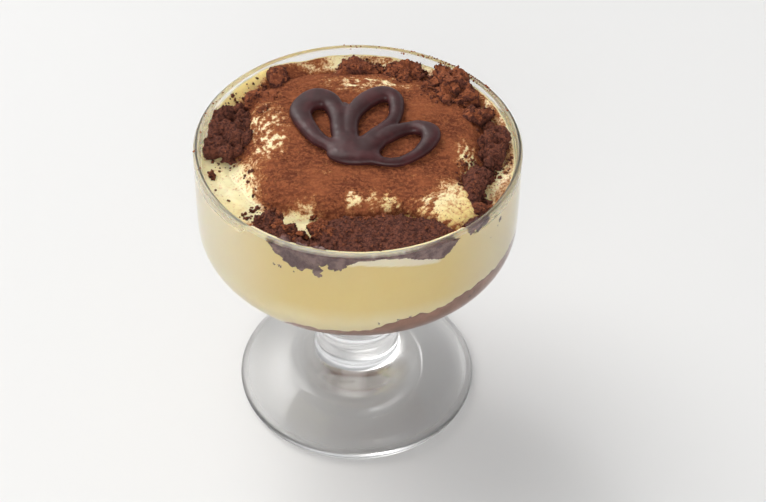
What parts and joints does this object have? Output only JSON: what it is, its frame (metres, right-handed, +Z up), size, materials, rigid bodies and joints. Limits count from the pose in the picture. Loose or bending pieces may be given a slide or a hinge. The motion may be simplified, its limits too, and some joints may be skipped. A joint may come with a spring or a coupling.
{
  "type": "tiramisu in a footed glass",
  "caption": "Layered coffee dessert in a footed glass coupe: wet sponge under cream, sponge pieces on top round a cocoa-dusted mound of cream with a piped chocolate garnish.",
  "frame": {"origin": "centre of the plane that the foot rests on", "axes": "+Z up along the stem, -Y towards the side with the largest piece of sponge, +X to its right"},
  "size_m": [0.0908, 0.0908, 0.0976],
  "materials": {
    "glass": "clear, polished soda-lime glass with a rounded rim",
    "wet_sponge": "sponge soaked in coffee, dull and damp",
    "cream": "whipped mascarpone and egg cream, soft satin",
    "dusted_cream": "cream under a layer of sieved cocoa powder, fully matt",
    "sponge": "crumbly chocolate sponge, rough and open",
    "dark_chocolate": "piped dark chocolate, set with a satin gloss"
  },
  "bodies": {
    "root": {"glass": "glass", "sponge_base": "wet_sponge", "cream_filling": "cream", "cream_top": "dusted_cream", "chocolate_garnish": "dark_chocolate", "sponge_front": "sponge", "sponge_left": "sponge", "sponge_right": "sponge", "sponge_ridge": "sponge", "sponge_left_back": "sponge", "sponge_back_left": "sponge", "sponge_back": "sponge", "sponge_back_right": "sponge", "sponge_right_back": "sponge", "sponge_lobe_side": "sponge", "sponge_front_right": "sponge", "sponge_front_left": "sponge", "sponge_left_front": "sponge"}
  },
  "joints": []
}
